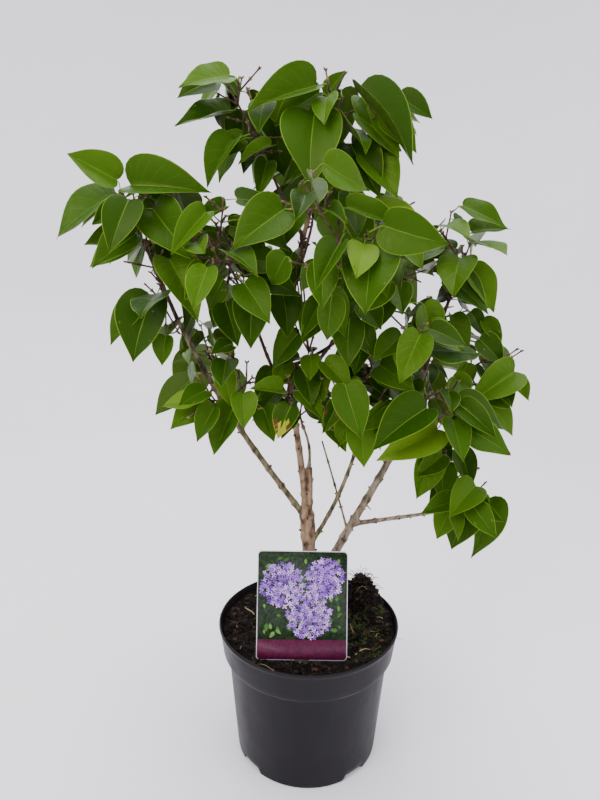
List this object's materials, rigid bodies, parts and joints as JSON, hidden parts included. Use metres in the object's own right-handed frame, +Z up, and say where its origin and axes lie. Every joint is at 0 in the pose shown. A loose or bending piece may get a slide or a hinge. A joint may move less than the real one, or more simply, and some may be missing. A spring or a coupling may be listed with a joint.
{
  "type": "potted lilac bush",
  "caption": "Young potted lilac bush: a short forked trunk, slim boughs and folded heart-shaped leaves, in a round nursery pot of soil with a leaning picture card.",
  "frame": {"origin": "centre of the pot's flat underside, on the surface it stands on", "axes": "+Z up the pot's axis; the side that the picture shows faces -Y, with +X to its right"},
  "size_m": [0.543, 0.3841, 0.8404],
  "materials": {
    "pot": "satin black nursery-pot plastic",
    "soil": "moist dark peat with fibres",
    "card": "thin printed plastic card, slight gloss",
    "bark": "smooth young bark with scars and buds",
    "leaf": "satin leaf, paler underneath"
  },
  "bodies": {
    "root": {"pot": "pot", "soil": "soil", "card": "card", "trunk": "bark", "stub": "bark", "stub_shoot": "bark", "left_bough": "bark", "low_left_bough": "bark", "mid_left_bough": "bark", "upper_left_bough": "bark", "top_right_bough": "bark", "upper_right_bough": "bark", "front_bough": "bark", "centre_right_bough": "bark", "inner_right_bough": "bark", "right_bough": "bark", "snag": "bark", "bare_shoot": "bark", "low_right_bough": "bark", "right_front_bough": "bark", "right_side_bough": "bark", "back_left_bough": "bark", "back_right_bough": "bark", "back_top_bough": "bark", "back_low_left_bough": "bark", "back_low_right_bough": "bark", "left_tip_foliage": "leaf", "right_foliage": "leaf", "top_foliage": "leaf", "top_right_foliage": "leaf", "upper_left_foliage": "leaf", "low_left_foliage": "leaf", "mid_left_foliage": "leaf", "low_right_foliage": "leaf", "upper_right_foliage": "leaf", "front_foliage": "leaf", "centre_right_foliage": "leaf", "right_front_foliage": "leaf", "right_side_foliage": "leaf", "inner_left_foliage": "leaf", "inner_right_foliage": "leaf", "back_left_foliage": "leaf", "back_right_foliage": "leaf", "back_top_foliage": "leaf", "back_low_left_foliage": "leaf", "back_low_right_foliage": "leaf"}
  },
  "joints": []
}
